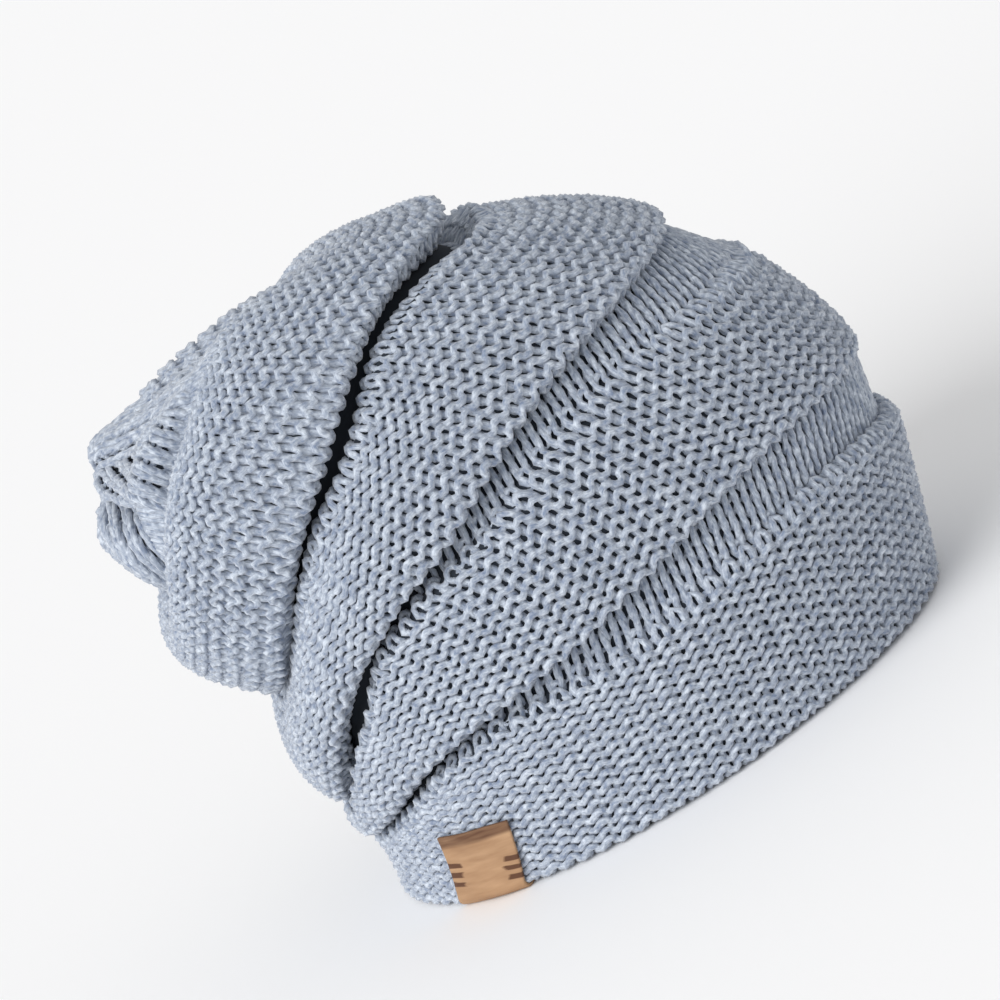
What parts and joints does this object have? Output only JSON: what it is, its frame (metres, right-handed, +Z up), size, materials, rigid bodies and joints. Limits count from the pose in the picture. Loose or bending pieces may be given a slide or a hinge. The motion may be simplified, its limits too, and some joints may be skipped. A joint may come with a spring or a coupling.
{
  "type": "slouchy beanie",
  "caption": "Slouchy knitted beanie: one hollow knitted body with rolled bands and a gathered crown, open at the rim, and a folded label over the rim.",
  "frame": {"origin": "middle of the hat's length and width, in the plane of the rim", "axes": "+X to the front of the hat, +Z up from the rim's plane to the crown, -Y to the side with the label"},
  "size_m": [0.2452, 0.1884, 0.2082],
  "materials": {
    "grey_blue_yarn": "matt, heathered",
    "label_leather": "satin, wood-grain print"
  },
  "bodies": {
    "root": {"knit_body": "grey_blue_yarn", "label": "label_leather"}
  },
  "joints": []
}
